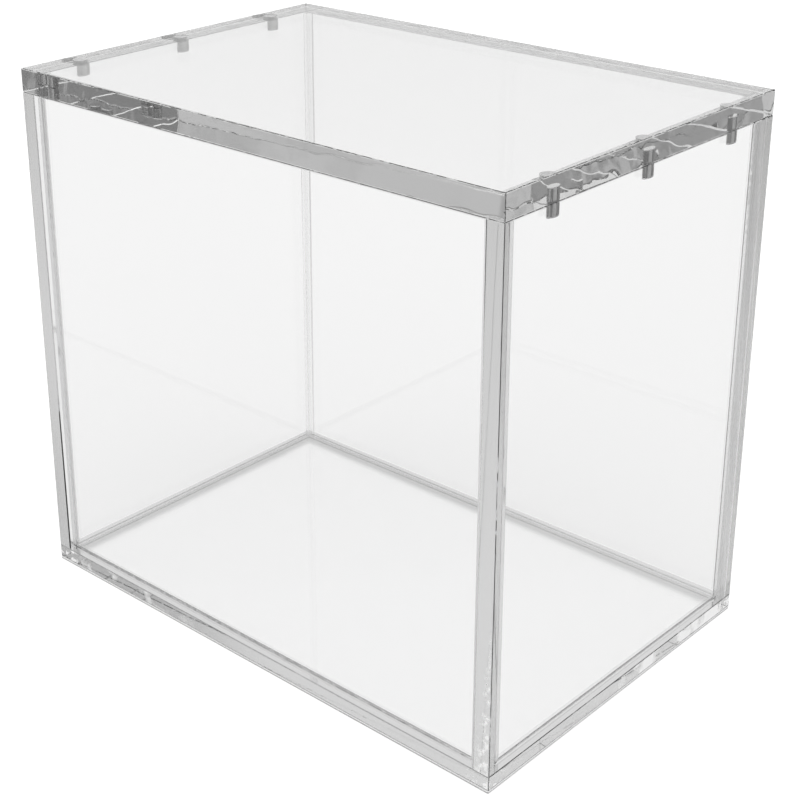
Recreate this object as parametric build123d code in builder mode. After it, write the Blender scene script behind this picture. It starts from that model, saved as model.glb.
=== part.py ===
from build123d import *
import os

# Clear acrylic storage box with a lift-off lid held by magnets, in millimetres.
# The origin is the centre of the footprint, on the surface the box stands on.
# The long front face looks towards -Y, +X is to its right and +Z is up.

# Overall sizes
box_width = 200.0
box_depth = 135.0
box_height = 185.0

# Acrylic sheet, its polished edges and the air film under the resting lid
wall_thickness = 6.0
base_thickness = 6.0
lid_thickness = 8.0
edge_break = 0.4
lid_air_gap = 0.05

# Magnets and the blind holes that they are glued into
hole_side_cover = 0.45
magnet_side_clearance = 0.05
magnet_height = 4.0
magnet_end_clearance = 0.2
magnet_recess = 0.05
magnet_edge_break = 0.2
magnet_depth_shares = {"front": -1 / 3, "middle": 0.0, "rear": 1 / 3}

# Levels and places that follow from those sizes
lid_underside = box_height - lid_thickness
wall_top = lid_underside - lid_air_gap
wall_height = wall_top - base_thickness
inner_width = box_width - 2 * wall_thickness
side_panel_x = (box_width - wall_thickness) / 2
long_panel_y = (box_depth - wall_thickness) / 2
sides = {"left": -1, "right": 1}
ends = {"front": -1, "rear": 1}

# The hole fills the wall but for a thin cover, and the magnet fills the hole
hole_radius = wall_thickness / 2 - hole_side_cover
magnet_radius = hole_radius - magnet_side_clearance
bore_depth = magnet_recess + magnet_height + magnet_end_clearance


def magnet_places(side):
    """Where the magnets of one short side stand, seen from above."""
    return [
        (sides[side] * side_panel_x, share * box_depth)
        for share in magnet_depth_shares.values()
    ]


def bore_magnet_holes(places, mouth_level, heading):
    """Cuts flat-ended blind holes, upwards (1) or downwards (-1)."""
    middle_level = mouth_level + heading * bore_depth / 2
    with Locations([(x, y, middle_level) for x, y in places]):
        Cylinder(hole_radius, bore_depth, mode=Mode.SUBTRACT)


os.makedirs("parts", exist_ok=True)

# Base: a full-size plate that the four walls stand on
with BuildPart() as base_panel:
    with BuildSketch():
        Rectangle(box_width, box_depth)
    extrude(amount=base_thickness)
    upright_edges = base_panel.edges().filter_by(Axis.Z)
    under_edges = base_panel.faces().sort_by(Axis.Z)[0].edges()
    chamfer(upright_edges + under_edges, length=edge_break)
base_panel.part.label = "base_panel"
export_step(base_panel.part, "parts/base_panel.step")

# Short walls: full depth, so that their polished ends show on the front and rear
for side, direction in sides.items():
    with BuildPart() as side_panel:
        with BuildSketch(Plane.XY.offset(base_thickness)):
            with Locations((direction * side_panel_x, 0)):
                Rectangle(wall_thickness, box_depth)
        extrude(amount=wall_height)
        outer_face = side_panel.faces().sort_by(Axis.X, reverse=direction < 0)[-1]
        rim_face = side_panel.faces().sort_by(Axis.Z)[-1]
        outer_edges = outer_face.edges().sort_by(Axis.Z)[1:]
        chamfer(outer_edges + rim_face.edges().filter_by(Axis.X), length=edge_break)
        bore_magnet_holes(magnet_places(side), wall_top, -1)
    side_panel.part.label = f"{side}_panel"
    export_step(side_panel.part, f"parts/{side}_panel.step")

# Long walls: they fit between the short walls, flush with their ends
for end, direction in ends.items():
    with BuildPart() as long_panel:
        with BuildSketch(Plane.XY.offset(base_thickness)):
            with Locations((0, direction * long_panel_y)):
                Rectangle(inner_width, wall_thickness)
        extrude(amount=wall_height)
        outer_face = long_panel.faces().sort_by(Axis.Y, reverse=direction < 0)[-1]
        chamfer(outer_face.edges().sort_by(Axis.Z)[-1], length=edge_break)
    long_panel.part.label = f"{end}_panel"
    export_step(long_panel.part, f"parts/{end}_panel.step")

# Lid: one thick plate, the size of the footprint, that rests on the walls
with BuildPart() as lid_plate:
    with BuildSketch(Plane.XY.offset(lid_underside)):
        Rectangle(box_width, box_depth)
    extrude(amount=lid_thickness)
    chamfer(lid_plate.edges(), length=edge_break)
    for side in sides:
        bore_magnet_holes(magnet_places(side), lid_underside, 1)
lid_plate.part.label = "lid_plate"
export_step(lid_plate.part, "parts/lid_plate.step")

# Magnets: one in the wall's rim and one in the lid over it, at each place
magnet_levels = {
    "wall_magnet": wall_top - magnet_recess - magnet_height,
    "lid_magnet": lid_underside + magnet_recess,
}
for kind, level in magnet_levels.items():
    for side in sides:
        for place, (x, y) in zip(magnet_depth_shares, magnet_places(side)):
            with BuildPart() as magnet:
                with BuildSketch(Plane.XY.offset(level)):
                    with Locations((x, y)):
                        Circle(magnet_radius)
                extrude(amount=magnet_height)
                rims = magnet.edges().filter_by(GeomType.CIRCLE)
                chamfer(rims, length=magnet_edge_break)
            magnet.part.label = f"{kind}_{side}_{place}"
            export_step(magnet.part, f"parts/{kind}_{side}_{place}.step")
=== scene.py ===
import bpy
import bmesh
from math import radians
from mathutils import Matrix, Vector


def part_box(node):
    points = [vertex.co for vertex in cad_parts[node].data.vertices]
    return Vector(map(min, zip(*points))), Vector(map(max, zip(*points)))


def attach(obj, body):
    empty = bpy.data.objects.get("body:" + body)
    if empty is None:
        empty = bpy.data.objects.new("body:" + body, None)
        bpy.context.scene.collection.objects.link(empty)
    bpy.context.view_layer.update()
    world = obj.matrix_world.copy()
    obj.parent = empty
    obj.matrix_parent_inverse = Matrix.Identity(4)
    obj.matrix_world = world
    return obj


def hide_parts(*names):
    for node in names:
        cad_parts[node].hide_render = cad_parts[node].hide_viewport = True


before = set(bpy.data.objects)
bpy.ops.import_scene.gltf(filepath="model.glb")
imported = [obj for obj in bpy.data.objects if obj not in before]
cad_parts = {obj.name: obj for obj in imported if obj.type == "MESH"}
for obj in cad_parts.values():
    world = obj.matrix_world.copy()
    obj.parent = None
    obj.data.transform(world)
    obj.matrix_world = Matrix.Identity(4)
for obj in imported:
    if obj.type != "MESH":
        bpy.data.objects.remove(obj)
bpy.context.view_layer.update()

# Clear acrylic box with a lift-off lid, in metres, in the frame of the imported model.
SIDES = {"left": -1, "right": 1}
ENDS = {"front": -1, "rear": 1}
PLACES = ("front", "middle", "rear")
ACROSS, DEEP, UP = 0, 1, 2

# Sheet sizes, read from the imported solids
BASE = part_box("base_panel")
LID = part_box("lid_plate")
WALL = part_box("left_panel")
SHEET = WALL[1][ACROSS] - WALL[0][ACROSS]
HALF_X = LID[1][ACROSS]
HALF_Y = LID[1][DEEP]
INNER_X = HALF_X - SHEET
INNER_Y = HALF_Y - SHEET
BASE_TOP = BASE[1][UP]

# Polished edges: outside corners, corners along a joint and the long panels' inner corners
OUTER_BREAK = 0.00036
JOINT_BREAK = 0.00040
INNER_BREAK = 0.00012

# The thin film in every joint, a margin that tells levels apart, and the most area a sheet's edge has
FILM = 0.000015
MARGIN = 0.001
EDGE_AREA = 0.002

# Holes for the magnets
BORE_RADIUS = 0.00255
BORE_DEPTH = 0.00425
BORE_SIDES = 64

# Material slots of a sheet, and of the cement; rims and lips carry painted shade as dark lines
CLEAR, WELD, GLUED, RIM, CORNER, LID_EDGE, SAWN_EDGE, HIGHLIGHT_LINE, SIDE_RIM = range(9)
CEMENT, LIP, DULL = range(3)

# Painted lines along the foot of the base, dark shade and a white highlight: each material reaches up to
# its level
FOOT_LINES = ((0.0014, RIM), (0.0011, HIGHLIGHT_LINE), (0.0005, RIM))

# The cement's fillet: its width and height along the base, and its width in the upright corners
BEAD_FOOT = 0.0019
BEAD_RISE = 0.0009
BEAD_LEG = 0.0016

# Its section as shares of width and height, and which sides of the section end its two thin arms
BEAD_SECTION = ((1.0, 0.0), (1.0, 0.20), (0.38, 0.26), (0.26, 0.38), (0.20, 1.0), (0.0, 1.0))
BEAD_LIPS = (1, 5)

# Slots of the fillet and of its lips in the upright corners, by the signs of the corner's place
# The lips' near-black tint is painted shade; the front corners' fillet is tinted darker
CORNER_BEADS = {
    (-1, -1): (DULL, DULL),
    (1, -1): (DULL, LIP),
    (1, 1): (CEMENT, LIP),
    (-1, 1): (CEMENT, CEMENT),
}

# How acrylic bends light, the tint of its surface, its faint grey depth, and the white of painted
# highlights
ACRYLIC_IOR = 1.49
CLEAR_TINT = 0.975
DEPTH_COLOUR = (0.71, 0.71, 0.705, 1.0)
DEPTH_DENSITY = 1.2
HIGHLIGHT_WHITE = 0.96

# Clear finishes: how close the waves of the surface stand, how high they are, and the tint
CLEAR_FINISHES = {
    "clear_acrylic": (25.0, 0.00002, CLEAR_TINT),
    # The dark tints of the joint rims, side rims and cement lips are painted shade, seen as dark lines
    "joint_rim": (400.0, 0.00002, 0.25),
    "side_panel_rim": (400.0, 0.00002, 0.50),
    "polished_corner": (400.0, 0.00002, 0.93),
    "lid_edge": (120.0, 0.00013, CLEAR_TINT),
    "cement": (500.0, 0.00003, 0.95),
    "dull_cement": (500.0, 0.00003, 0.70),
    "cement_lip": (400.0, 0.00002, 0.06),
}

# The waves of a sawn edge and of the painted highlight line, the share of light that painted highlights
# let through, and how fully they cover the clear acrylic
SAWN_WAVES = (90.0, 0.00003)
HIGHLIGHT_LINE_WAVES = (600.0, 0.00005)
PATCH_THROUGH = 0.1
HIGHLIGHT_LINE_THROUGH = 0.25
HIGHLIGHT_LINE_COVER = 0.9
BASE_PATCH_COVER = 0.95
POST_PATCH_COVER = 0.85

# White patches of painted highlight: where they are, how small they are, and how sharply they end
PATCH_INPUTS = ("Aim", "Start", "End", "Scale", "Least", "Most")
RIGHT_EDGE_PATCHES = ((0.2, 1.0, 0.0), 0.005, 0.035, 95.0, 0.45, 0.58)
LEFT_EDGE_PATCHES = ((-1.0, 0.0, 0.0), 0.01, 0.07, 130.0, 0.50, 0.68)
NEAR_CORNER_PATCHES = ((1.0, -1.0, 0.0), 0.157, 0.165, 420.0, 0.54, 0.62)
LEFT_CORNER_PATCHES = ((-1.0, -1.0, 0.0), 0.150, 0.160, 420.0, 0.50, 0.60)
RIGHT_CORNER_PATCHES = ((1.0, 1.0, 0.0), 0.154, 0.164, 420.0, 0.50, 0.60)
NEAR_POST_PATCHES = ((1.0, 0.0, -0.1), 0.0925, 0.0965, 400.0, 0.48, 0.62)

# Painted shade on sawn edges, darker towards one end: the direction, where this starts and ends, and the
# tint there
BASE_SHADE = ((-1.0, 0.0, 0.0), -0.02, 0.05, 0.40)
POST_SHADE = ((-1.0, 0.0, -0.5), 0.045, 0.09, 0.62)

# Nickel: the size of its streaks of painted reflection, the greys of its sides, its end, and how rough
# sides and end are
NICKEL_STREAK_SIZE = 1600.0
NICKEL_SIDES = (0.22, 0.58)
# Painted light: the end is paler, as if lit from above
NICKEL_END = 0.95
NICKEL_ROUGHNESS = (0.12, 0.60)

# Light sees other greys once it has been mirrored more often than these counts say
MIRRORINGS = (0.5, 2.5, 7.5)
STUDIO_STOPS = ((0.0, 0.24), (0.22, 0.38), (0.5, 0.50), (0.72, 0.50), (0.98, 0.16))
DARK_SIDE = (0.69, 0.72, 0.0)
CLOUD_SCALE = 9.0
CLOUD_STRENGTH = 1.2
OVERHEAD = (0.55, 0.7)
WHITE = 1.0
PALE = 0.90
GREY = 0.70
LIGHT_BOUNCES = 48

# The floor, and where its zones start and end by their distance from the box's footprint; under the walls
# and near the foot it holds painted shadow
FLOOR_REACH = 6.0
FLOOR_LEVEL = -0.00005
UNDER_WALLS = (-SHEET - 0.0040, -SHEET + 0.0002)
PAST_FOOT = (-0.0004, 0.0004)
NEAR_FOOT = (0.004, 0.03)
FAR_OFF = (0.20, 0.30)
FLOOR_MATT = 0.30

# The floor's greys: under the middle and, as painted shadow, under the walls; around the box for glass and
# for the camera;
# and near the foot, as painted shadow, and further off for light that was mirrored often
UNDER_GREYS = (0.87, 0.50)
AROUND_GREYS = (0.68, 0.92)
OFTEN_GREYS = (0.72, 0.84)


def link(piece):
    """Adds an object to the scene."""
    bpy.context.scene.collection.objects.link(piece)
    return piece


def node(tree, kind, place, sockets=None, **fields):
    """Adds a shader node; an input is linked or set, and one number stands for a grey."""
    made = tree.nodes.new(kind)
    made.location = place
    for field, value in fields.items():
        setattr(made, field, value)
    for key, value in (sockets or {}).items():
        socket = made.inputs[key]
        if isinstance(value, bpy.types.NodeSocket):
            tree.links.new(value, socket)
        elif socket.type == "RGBA" and isinstance(value, float):
            socket.default_value = (value, value, value, 1.0)
        else:
            socket.default_value = value
    return made


def smooth_step(tree, value, start, end, place):
    """Runs smoothly from 0 at start to 1 at end."""
    ends = {"Value": value, "From Min": start, "From Max": end}
    step = node(tree, "ShaderNodeMapRange", place, ends, interpolation_type="SMOOTHSTEP")
    return step.outputs["Result"]


def blend(tree, share, one, two, place):
    """Mixes two colours; each is a socket or a grey value."""
    mix = node(tree, "ShaderNodeMix", place, {0: share, 6: one, 7: two}, data_type="RGBA")
    return mix.outputs[2]


def along(tree, vector, aim, place):
    """How far a place lies in one direction."""
    toward = node(tree, "ShaderNodeVectorMath", place, {0: vector, 1: aim}, operation="DOT_PRODUCT")
    return toward.outputs["Value"]


def arithmetic(tree, operation, values, place):
    """One sum on numbers or sockets."""
    return node(tree, "ShaderNodeMath", place, dict(enumerate(values)), operation=operation).outputs[0]


def mix_shaders(tree, share, one, two, place):
    """Mixes two shaders."""
    return node(tree, "ShaderNodeMixShader", place, {"Fac": share, 1: one, 2: two}).outputs[0]


def new_group(name, inputs, outputs):
    """An empty node group with named inputs and outputs."""
    group = bpy.data.node_groups.new(name, "ShaderNodeTree")
    for way, names in (("INPUT", inputs), ("OUTPUT", outputs)):
        for label, kind in names.items():
            group.interface.new_socket(label, in_out=way, socket_type=f"NodeSocket{kind}")
    given = node(group, "NodeGroupInput", (-1000, 0)).outputs
    result = node(group, "NodeGroupOutput", (400, 0)).inputs
    return group, given, result


def placed(tree, group, place, sockets):
    """Places a node group with its own values, and gives its output."""
    return node(tree, "ShaderNodeGroup", place, sockets, node_tree=group).outputs[0]


def waves_group():
    """The slow waves of a cast and polished sheet, as a surface normal."""
    kinds = {"Scale": "Float", "Height": "Float"}
    group, given, result = new_group("sheet_waves", kinds, {"Normal": "Vector"})
    where = node(group, "ShaderNodeTexCoord", (-800, 0)).outputs["Object"]
    pattern = {"Vector": where, "Scale": given["Scale"], "Detail": 0.5}
    noise = node(group, "ShaderNodeTexNoise", (-500, 0), pattern).outputs[0]
    relief = {"Strength": 1.0, "Distance": given["Height"], "Height": noise}
    bump = node(group, "ShaderNodeBump", (-200, 0), relief)
    group.links.new(bump.outputs["Normal"], result["Normal"])
    return group


def patches_group():
    """A mask of small patches, which stand closer where a place lies further along the aim."""
    kinds = dict.fromkeys(PATCH_INPUTS, "Float")
    kinds["Aim"] = "Vector"
    group, given, result = new_group("painted_highlight_patches", kinds, {"Mask": "Float"})
    where = node(group, "ShaderNodeTexCoord", (-1000, 300)).outputs["Object"]
    toward = along(group, where, given["Aim"], (-700, 300))
    pattern = {"Vector": where, "Scale": given["Scale"], "Detail": 2.0}
    noise = node(group, "ShaderNodeTexNoise", (-700, -300), pattern).outputs[0]
    within = smooth_step(group, toward, given["Start"], given["End"], (-400, 300))
    spots = smooth_step(group, noise, given["Least"], given["Most"], (-400, -300))
    mask = arithmetic(group, "MULTIPLY", (within, spots), (0, 0))
    group.links.new(mask, result["Mask"])
    return group


def studio_grey_group():
    """Grey of the far studio by compass direction: darkest behind the box, to the right."""
    group, given, result = new_group("studio_grey", {"Vector": "Vector"}, {"Grey": "Color"})
    vector = given["Vector"]
    flat = {0: vector, 1: (1.0, 1.0, 0.0)}
    level = node(group, "ShaderNodeVectorMath", (-800, 0), flat, operation="MULTIPLY").outputs[0]
    compass = node(group, "ShaderNodeVectorMath", (-600, 0), {0: level}, operation="NORMALIZE").outputs[0]
    toward = along(group, compass, DARK_SIDE, (-400, 0))
    straight = node(group, "ShaderNodeVectorMath", (-800, -300), {0: vector}, operation="NORMALIZE")
    pattern = {"Vector": straight.outputs[0], "Scale": CLOUD_SCALE, "Detail": 1.0}
    clouds = node(group, "ShaderNodeTexNoise", (-600, -300), pattern).outputs[0]
    shift = arithmetic(group, "MULTIPLY_ADD", (clouds, CLOUD_STRENGTH, -0.1), (-400, -300))
    share = arithmetic(group, "MULTIPLY_ADD", (toward, 0.5, shift), (-200, 0))
    grey = node(group, "ShaderNodeValToRGB", (0, 0), {0: share})
    stops = grey.color_ramp.elements
    while len(stops) < len(STUDIO_STOPS):
        stops.new(0.5)
    for stop, (position, value) in zip(stops, STUDIO_STOPS):
        stop.position = position
        stop.color = (value, value, value, 1.0)
    group.links.new(grey.outputs[0], result["Grey"])
    return group


WAVES = waves_group()
PATCHES = patches_group()
STUDIO_GREY = studio_grey_group()


def new_material(name):
    """A material without any nodes."""
    material = bpy.data.materials.new(name)
    material.use_nodes = True
    material.node_tree.nodes.clear()
    return material, material.node_tree


def waves(tree, scale, height):
    """The waves of a surface, as its normal."""
    return placed(tree, WAVES, (-200, -300), {"Scale": scale, "Height": height})


def clear_shader(tree, tint, normal=None):
    """Clear acrylic: its shader, with the values that are the same everywhere."""
    values = {"Base Color": tint, "Roughness": 0.0, "IOR": ACRYLIC_IOR, "Transmission Weight": 1.0}
    if normal:
        values["Normal"] = normal
    return node(tree, "ShaderNodeBsdfPrincipled", (200, 0), values).outputs[0]


def acrylic_output(tree, surface):
    """Ends an acrylic material with its surface and the faint grey depth of the sheet."""
    depth = {"Color": DEPTH_COLOUR, "Density": DEPTH_DENSITY}
    volume = node(tree, "ShaderNodeVolumeAbsorption", (600, -300), depth).outputs[0]
    node(tree, "ShaderNodeOutputMaterial", (900, 0), {"Surface": surface, "Volume": volume})


def acrylic_material(name, scale, height, tint):
    """Clear acrylic with its waves; a cut or cemented edge is a little darker."""
    material, tree = new_material(name)
    acrylic_output(tree, clear_shader(tree, tint, waves(tree, scale, height)))
    return material


def painted_highlight_white(tree, through_share, place):
    """White for painted highlights, which lets a share of the light through."""
    x, y = place
    near = node(tree, "ShaderNodeBsdfDiffuse", (x, y), {"Color": HIGHLIGHT_WHITE}).outputs[0]
    through = node(tree, "ShaderNodeBsdfTranslucent", (x, y - 150), {"Color": HIGHLIGHT_WHITE}).outputs[0]
    return mix_shaders(tree, through_share, near, through, (x + 200, y))


def edge_material(name, marks, cover, shade):
    """A sawn edge: clear, with white patches of painted highlight, and painted shade that darkens it
    towards one end.
    """
    material, tree = new_material(name)
    painted_highlights = None
    for index, mark in enumerate(marks):
        found = placed(tree, PATCHES, (-1000, 300 + 400 * index), dict(zip(PATCH_INPUTS, mark)))
        if painted_highlights:
            found = arithmetic(tree, "MAXIMUM", (painted_highlights, found), (-700, 300 + 400 * index))
        painted_highlights = found
    aim, start, end, darkest = shade
    # Painted shade: the edge's tint darkens along the aim
    where = node(tree, "ShaderNodeTexCoord", (-1000, -100)).outputs["Object"]
    toward = along(tree, where, aim, (-800, -100))
    painted_shade = smooth_step(tree, toward, start, end, (-600, -100))
    tint = blend(tree, painted_shade, CLEAR_TINT, darkest, (-200, 0))
    clear = clear_shader(tree, tint, waves(tree, *SAWN_WAVES))
    # Painted highlights: white patches mixed over the clear acrylic
    share = blend(tree, painted_highlights, 0.0, cover, (0, 300))
    white = painted_highlight_white(tree, PATCH_THROUGH, (0, 600))
    acrylic_output(tree, mix_shaders(tree, share, clear, white, (500, 0)))
    return material


def highlight_line_material():
    """A thin white line of painted highlight along a joint."""
    material, tree = new_material("painted_highlight_line")
    clear = clear_shader(tree, CLEAR_TINT, waves(tree, *HIGHLIGHT_LINE_WAVES))
    white = painted_highlight_white(tree, HIGHLIGHT_LINE_THROUGH, (0, 300))
    acrylic_output(tree, mix_shaders(tree, HIGHLIGHT_LINE_COVER, clear, white, (500, 0)))
    return material


def weld_material(name, dry):
    """A joint's face: clear acrylic where it is dry, and nothing at all where cement has wetted it."""
    material, tree = new_material(name)
    wet = node(tree, "ShaderNodeBsdfTransparent", (200, 200)).outputs[0]
    acrylic_output(tree, mix_shaders(tree, dry, wet, clear_shader(tree, CLEAR_TINT), (500, 0)))
    return material


def nickel_material():
    """Nickel-plated magnet: sides streaked with painted reflections, and a duller end painted paler as if
    lit from above.
    """
    material, tree = new_material("nickel_magnet")
    where = node(tree, "ShaderNodeTexCoord", (-1000, 0)).outputs["Object"]
    height = node(tree, "ShaderNodeSeparateXYZ", (-800, 200), {0: where}).outputs["Z"]
    # Painted reflections: upright streaks in the sides' grey
    stretched = {0: where, 1: (1.0, 1.0, 0.08)}
    upright = node(tree, "ShaderNodeVectorMath", (-800, -200), stretched, operation="MULTIPLY").outputs[0]
    pattern = {"Vector": upright, "Scale": NICKEL_STREAK_SIZE}
    streaks = node(tree, "ShaderNodeTexNoise", (-600, -200), pattern).outputs[0]
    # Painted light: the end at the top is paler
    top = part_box("lid_magnet_left_front")[1][UP]
    end = smooth_step(tree, height, top - 0.00010, top - 0.00005, (-400, 200))
    side = blend(tree, streaks, *NICKEL_SIDES, (-200, -200))
    values = {
        "Metallic": 1.0,
        "Base Color": blend(tree, end, side, NICKEL_END, (0, 100)),
        "Roughness": blend(tree, end, *NICKEL_ROUGHNESS, (0, -200)),
    }
    shader = node(tree, "ShaderNodeBsdfPrincipled", (400, 0), values).outputs[0]
    node(tree, "ShaderNodeOutputMaterial", (900, 0), {"Surface": shader})
    return material


BASE_MARKS = (
    RIGHT_EDGE_PATCHES, LEFT_EDGE_PATCHES,
    NEAR_CORNER_PATCHES, LEFT_CORNER_PATCHES, RIGHT_CORNER_PATCHES,
)
BASE_EDGE = edge_material("base_edge", BASE_MARKS, BASE_PATCH_COVER, BASE_SHADE)
NICKEL = nickel_material()
FINISHES = {name: acrylic_material(name, *values) for name, values in CLEAR_FINISHES.items()}
SHEET_FINISHES = {
    CLEAR: FINISHES["clear_acrylic"],
    WELD: weld_material("acrylic_weld", 1.0),
    GLUED: weld_material("glued_bore", 0.0),
    # The rims are tinted dark as painted shade
    RIM: FINISHES["joint_rim"],
    CORNER: FINISHES["polished_corner"],
    LID_EDGE: FINISHES["lid_edge"],
    SAWN_EDGE: edge_material("post_edge", (NEAR_POST_PATCHES,), POST_PATCH_COVER, POST_SHADE),
    # The thin white line of painted highlight
    HIGHLIGHT_LINE: highlight_line_material(),
    SIDE_RIM: FINISHES["side_panel_rim"],
}
CEMENT_FINISHES = {
    CEMENT: FINISHES["cement"],
    LIP: FINISHES["cement_lip"],
    DULL: FINISHES["dull_cement"],
}


def finished_piece(name, shape, finishes):
    """Turns a finished shape into an object with its materials, in the order of their slots."""
    mesh = bpy.data.meshes.new(name)
    shape.to_mesh(mesh)
    shape.free()
    for slot in sorted(finishes):
        mesh.materials.append(finishes[slot])
    return link(bpy.data.objects.new(name, mesh))


def cut_bores(piece, places, mouth):
    """Cuts the flat-ended magnet holes into a sheet, with their mouths at one level."""
    cutter = bmesh.new()
    for x, y in places:
        bmesh.ops.create_cone(
            cutter, cap_ends=True, segments=BORE_SIDES, radius1=BORE_RADIUS, radius2=BORE_RADIUS,
            depth=2 * BORE_DEPTH, matrix=Matrix.Translation((x, y, mouth)),
        )
    bmesh.ops.recalc_face_normals(cutter, faces=cutter.faces[:])
    tool = finished_piece("bores", cutter, {})
    cut = piece.modifiers.new("bores", "BOOLEAN")
    cut.operation = "DIFFERENCE"
    cut.solver = "EXACT"
    cut.object = tool
    graph = bpy.context.evaluated_depsgraph_get()
    result = bpy.data.meshes.new_from_object(piece.evaluated_get(graph))
    piece.modifiers.clear()
    piece.data = result
    bpy.data.objects.remove(tool)
    for face in result.polygons:
        for x, y in places:
            away = (face.center.x - x) ** 2 + (face.center.y - y) ** 2
            if away < (1.02 * BORE_RADIUS) ** 2 and abs(face.normal.z) < 0.5:
                face.material_index = GLUED


def in_joint(point):
    """Whether a point of a panel lies in one of the tub's cemented joints."""
    x, y, z = abs(point[0]), abs(point[1]), point[2]
    under_wall = abs(z - BASE_TOP) < 2 * FILM and (x > INNER_X or y > INNER_Y)
    at_corner = abs(x - INNER_X) < 2 * FILM and y > INNER_Y and z > BASE_TOP
    return under_wall or at_corner


def on_shown_side(face):
    """Whether a face looks to the front or the right, where the painted dark lines, highlights and shade
    of the joints and sawn edges go.
    """
    return face.normal.x - face.normal.y > 0.3


def flat_side(face):
    """The axis and sign that a face looks along, or nothing for a slanted face."""
    for axis in (ACROSS, DEEP, UP):
        if abs(face.normal[axis]) > 0.999:
            return (axis, 1 if face.normal[axis] > 0 else -1)
    return None


def square_edges(shape, outer, shown):
    """The square edges between two flat faces, of which this many show on the outside."""
    found = []
    shape.normal_update()
    for edge in shape.edges:
        sides = {flat_side(face) for face in edge.link_faces}
        if None not in sides and len(sides) == 2 and len(sides & set(outer)) == shown:
            found.append(edge)
    return found


def block(low, high):
    """A plain block between two corners."""
    shape = bmesh.new()
    bmesh.ops.create_cube(shape, size=1.0)
    for vert in shape.verts:
        for axis in (ACROSS, DEEP, UP):
            vert.co[axis] = low[axis] if vert.co[axis] < 0 else high[axis]
    return shape


def break_edges(shape, edges, width, segments, slot):
    """Breaks some edges; a break that is turned away from the photo's side is plain polished."""
    made = bmesh.ops.bevel(
        shape, geom=edges, offset=width, offset_type="OFFSET",
        segments=segments, profile=0.5, affect="EDGES", material=-1,
    )
    for face in made["faces"]:
        face.material_index = slot if on_shown_side(face) else CORNER


def split(shape, axis, level):
    """Splits the faces along a plane, so that each part can have its own material."""
    place, normal = Vector(), Vector()
    place[axis], normal[axis] = level, 1.0
    parts = shape.verts[:] + shape.edges[:] + shape.faces[:]
    bmesh.ops.bisect_plane(shape, geom=parts, plane_co=place, plane_no=normal)


def mark_joints(shape, low, high):
    """Gives the parts of a panel that lie in a joint the material of the weld."""
    for axis, inner in ((ACROSS, INNER_X), (DEEP, INNER_Y)):
        for level in (inner, -inner):
            if low[axis] + MARGIN < level < high[axis] - MARGIN:
                split(shape, axis, level)
    for face in shape.faces:
        if in_joint(face.calc_center_median()):
            face.material_index = WELD


def mark_foot(shape):
    """Draws the painted dark lines of shade and the white line of painted highlight along the foot of the
    base.
    """
    for level, slot in FOOT_LINES:
        split(shape, UP, level)
    for face in shape.faces:
        for level, slot in FOOT_LINES:
            if on_shown_side(face) and face.calc_center_median().z < level:
                face.material_index = slot


def sheet(name, low, high, body, outer, slots, bores=None):
    """One acrylic sheet: its outer faces (axis, sign), and its slots for edges, rims and inner corners."""
    shape = block(low, high)
    edge_slot, rim_slot, inner_slot = slots
    for face in shape.faces:
        narrow = abs(face.normal.z) < 0.5 and face.calc_area() < EDGE_AREA
        if narrow and (body == "lid" or on_shown_side(face)):
            face.material_index = edge_slot
    break_edges(shape, square_edges(shape, outer, 2), OUTER_BREAK, 2, CORNER)
    if body == "box":
        rims = square_edges(shape, outer, 1)
        above_foot = [edge for edge in rims if max(vert.co.z for vert in edge.verts) > low[UP] + MARGIN]
        break_edges(shape, above_foot, JOINT_BREAK, 1, rim_slot)
        if inner_slot:
            break_edges(shape, square_edges(shape, outer, 0), INNER_BREAK, 1, inner_slot)
        mark_joints(shape, low, high)
    finishes = dict(SHEET_FINISHES)
    if name == "base_panel_shell":
        mark_foot(shape)
        finishes[SAWN_EDGE] = BASE_EDGE
    piece = finished_piece(name, shape, finishes)
    if bores:
        cut_bores(piece, *bores)
    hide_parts(name.replace("_shell", ""))
    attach(piece, body)


def magnet_places(side):
    """Centres of one side's magnets, seen from above."""
    centres = []
    for place in PLACES:
        low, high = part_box(f"lid_magnet_{side}_{place}")
        centres.append(((low[0] + high[0]) / 2, (low[1] + high[1]) / 2))
    return centres


def set_back(box, sides):
    """A box with some of its sides, (axis, sign), set back by half of a joint's film."""
    low, high = list(box[0]), list(box[1])
    for axis, sign in sides:
        if sign < 0:
            low[axis] += FILM
        else:
            high[axis] -= FILM
    return low, high


def build_panels():
    """The five panels of the tub and the lid."""
    # The rims along the joints carry painted shade as dark lines
    outer = [(ACROSS, -1), (ACROSS, 1), (DEEP, -1), (DEEP, 1), (UP, -1)]
    low, high = set_back(BASE, [(UP, 1)])
    sheet("base_panel_shell", low, high, "box", outer, (SAWN_EDGE, RIM, None))
    for side, way in SIDES.items():
        outer = [(ACROSS, way), (DEEP, -1), (DEEP, 1), (UP, 1)]
        low, high = set_back(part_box(f"{side}_panel"), [(ACROSS, -way), (UP, -1)])
        bores = (magnet_places(side), high[UP])
        sheet(f"{side}_panel_shell", low, high, "box", outer, (SAWN_EDGE, SIDE_RIM, None), bores)
    for end, way in ENDS.items():
        outer = [(DEEP, way), (UP, 1)]
        low, high = set_back(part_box(f"{end}_panel"), [(ACROSS, -1), (ACROSS, 1), (UP, -1)])
        # The end panels' rims along the base take the painted highlight line
        sheet(f"{end}_panel_shell", low, high, "box", outer, (SAWN_EDGE, HIGHLIGHT_LINE, RIM))
    outer = [(axis, sign) for axis in (ACROSS, DEEP, UP) for sign in (-1, 1)]
    bores = (magnet_places("left") + magnet_places("right"), LID[0][UP])
    sheet("lid_plate_shell", *LID, "lid", outer, (LID_EDGE, None, None), bores)


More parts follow.
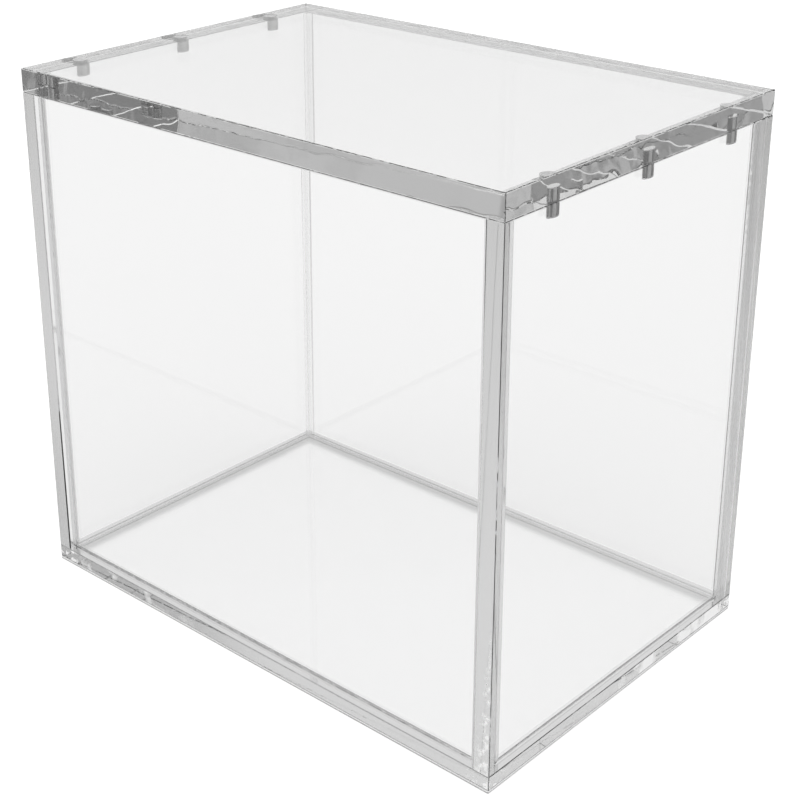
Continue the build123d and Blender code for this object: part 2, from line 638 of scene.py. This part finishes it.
def bead_section(foot, rise):
    """The fillet's section: its corner, then along its foot and up to the end of its rise."""
    points = [(FILM, FILM)]
    for width, height in BEAD_SECTION:
        points.append((max(width * foot, FILM), max(height * rise, FILM)))
    return points


def loft(shape, rings, closed, slot, lip_slot):
    """Skins the fillet's rings; the ends of its two thin arms have their own material."""
    rows = [[shape.verts.new(point) for point in ring] for ring in rings]
    pairs = list(zip(rows, rows[1:]))
    if closed:
        pairs.append((rows[-1], rows[0]))
    else:
        shape.faces.new(rows[0])
        shape.faces.new(rows[-1])
    for one, two in pairs:
        for index in range(len(one)):
            after = (index + 1) % len(one)
            face = shape.faces.new((one[index], one[after], two[after], two[index]))
            face.material_index = lip_slot if index in BEAD_LIPS else slot


def cement_bead():
    """The cement's small fillet along every inner corner of the tub."""
    shape = bmesh.new()
    rings = []
    for across, deep in CORNER_BEADS:
        rings.append([
            (across * (INNER_X - foot), deep * (INNER_Y - foot), BASE_TOP + rise)
            for foot, rise in bead_section(BEAD_FOOT, BEAD_RISE)
        ])
    # The lips are near-black, as painted shade
    loft(shape, rings, True, CEMENT, LIP)
    levels = (BASE_TOP + BEAD_RISE + 2 * FILM, WALL[1][UP] - OUTER_BREAK)
    for (across, deep), slots in CORNER_BEADS.items():
        rings = []
        for level in levels:
            rings.append([
                (across * (INNER_X - one), deep * (INNER_Y - two), level)
                for one, two in bead_section(BEAD_LEG, BEAD_LEG)
            ])
        loft(shape, rings, False, *slots)
    bmesh.ops.recalc_face_normals(shape, faces=shape.faces[:])
    piece = finished_piece("cement_bead", shape, CEMENT_FINISHES)
    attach(piece, "box")


def dress_magnets():
    """The magnets keep their solids and get a metal finish."""
    for kind in ("wall", "lid"):
        for side in SIDES:
            for place in PLACES:
                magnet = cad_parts[f"{kind}_magnet_{side}_{place}"]
                for slot in magnet.material_slots:
                    slot.material = NICKEL


def by_mirrorings(tree, seen, greys, place):
    """Picks what light sees by how often it was mirrored: never, once or twice, often, many times."""
    x, y = place
    count = node(tree, "ShaderNodeLightPath", (x, y)).outputs["Glossy Depth"]
    for index, (fewest, grey) in enumerate(zip(MIRRORINGS, greys)):
        reached = arithmetic(tree, "GREATER_THAN", (count, fewest), (x + 180, y - 200 * index))
        seen = blend(tree, reached, seen, grey, (x + 400 + 180 * index, y))
    return seen


def studio_world():
    """White all round; light that has run inside a sheet sees the studio's greys."""
    world = bpy.data.worlds.new("studio")
    bpy.context.scene.world = world
    world.use_nodes = True
    tree = world.node_tree
    where = node(tree, "ShaderNodeTexCoord", (-1800, 0)).outputs["Generated"]
    grey = placed(tree, STUDIO_GREY, (-1500, 0), {"Vector": where})
    height = node(tree, "ShaderNodeSeparateXYZ", (-1600, 300), {0: where}).outputs["Z"]
    overhead = smooth_step(tree, height, *OVERHEAD, (-1200, 300))
    far = blend(tree, overhead, grey, WHITE, (-700, 0))
    passed = node(tree, "ShaderNodeLightPath", (-1600, 700)).outputs["Transmission Depth"]
    inside = arithmetic(tree, "GREATER_THAN", (passed, 0.5), (-1400, 700))
    once = blend(tree, inside, PALE, GREY, (-1200, 700))
    seen = by_mirrorings(tree, WHITE, (once, far, GREY), (-900, 500))
    tree.links.new(seen, tree.nodes["Background"].inputs["Color"])


def outside_box(tree, vector, place):
    """Distance on the floor from the box's footprint; below 0 inside it."""
    x, y = place
    size = node(tree, "ShaderNodeVectorMath", (x, y), {0: vector}, operation="ABSOLUTE").outputs[0]
    reach = {0: size, 1: (HALF_X, HALF_Y, 1.0)}
    over = node(tree, "ShaderNodeVectorMath", (x + 180, y), reach, operation="SUBTRACT").outputs[0]
    parts = node(tree, "ShaderNodeSeparateXYZ", (x + 360, y), {0: over}).outputs
    return arithmetic(tree, "MAXIMUM", (parts["X"], parts["Y"]), (x + 540, y))


def floor_material():
    """White floor with the box's soft shadow and painted shadow under the walls; mirrored light sees its
    greys, with painted shadow near the foot.
    """
    material, tree = new_material("floor_white")
    where = node(tree, "ShaderNodeTexCoord", (-2200, 0)).outputs["Object"]
    grey = placed(tree, STUDIO_GREY, (-1700, 0), {"Vector": where})
    away = outside_box(tree, where, (-2000, 300))
    near = smooth_step(tree, away, *NEAR_FOOT, (-1300, 300))
    far = smooth_step(tree, away, *FAR_OFF, (-1300, 500))
    under = smooth_step(tree, away, *UNDER_WALLS, (-1300, 900))
    past = smooth_step(tree, away, *PAST_FOOT, (-1300, 1100))
    # Painted shadow near the foot, for mirrored light
    beside = blend(tree, near, *OFTEN_GREYS, (-1000, 300))
    often = blend(tree, far, beside, grey, (-800, 100))
    many = blend(tree, past, WHITE, GREY, (-1000, 700))
    mirrored = by_mirrorings(tree, WHITE, (PALE, often, many), (-900, 600))
    seen = node(tree, "ShaderNodeEmission", (0, -200), {"Color": mirrored}).outputs[0]
    # Painted shadow under the walls
    foot = blend(tree, under, *UNDER_GREYS, (-1000, 1000))
    path = node(tree, "ShaderNodeLightPath", (-1300, 1300)).outputs
    around = blend(tree, path["Is Camera Ray"], *AROUND_GREYS, (-1000, 1200))
    lit = blend(tree, past, foot, around, (-700, 1000))
    glow = node(tree, "ShaderNodeEmission", (0, 0), {"Color": lit}).outputs[0]
    matt = node(tree, "ShaderNodeBsdfDiffuse", (0, 200), {"Color": FLOOR_MATT}).outputs[0]
    both = node(tree, "ShaderNodeAddShader", (200, 100), {0: matt, 1: glow}).outputs[0]
    bounced = arithmetic(tree, "GREATER_THAN", (path["Glossy Depth"], 0.5), (200, 500))
    surface = mix_shaders(tree, bounced, both, seen, (500, 0))
    node(tree, "ShaderNodeOutputMaterial", (900, 0), {"Surface": surface})
    return material


def studio_floor():
    """A white floor that keeps the box's soft shadow, with painted shadow under the walls."""
    shape = bmesh.new()
    level = Matrix.Translation((0.0, 0.0, FLOOR_LEVEL))
    bmesh.ops.create_grid(shape, x_segments=1, y_segments=1, size=FLOOR_REACH, matrix=level)
    finished_piece("studio_floor", shape, {0: floor_material()})


def photo_camera():
    """The photograph's view, from in front, the right and above."""
    data = bpy.data.cameras.new("photo_camera")
    data.sensor_width = 36.0
    data.lens = 74.169
    data.shift_x = 0.08706
    data.shift_y = -0.12206
    data.clip_start = 0.01
    camera = link(bpy.data.objects.new("photo_camera", data))
    camera.location = (0.33884, -0.38363, 0.31471)
    camera.rotation_euler = (radians(68.0483), radians(0.693), radians(43.2137))
    bpy.context.scene.camera = camera


photo_camera()
studio_world()
studio_floor()
build_panels()
cement_bead()
dress_magnets()

scene = bpy.context.scene
scene.view_settings.view_transform = "Standard"
scene.cycles.max_bounces = LIGHT_BOUNCES
scene.cycles.glossy_bounces = LIGHT_BOUNCES
scene.cycles.transmission_bounces = LIGHT_BOUNCES
scene.cycles.transparent_max_bounces = LIGHT_BOUNCES

bpy.context.view_layer.update()
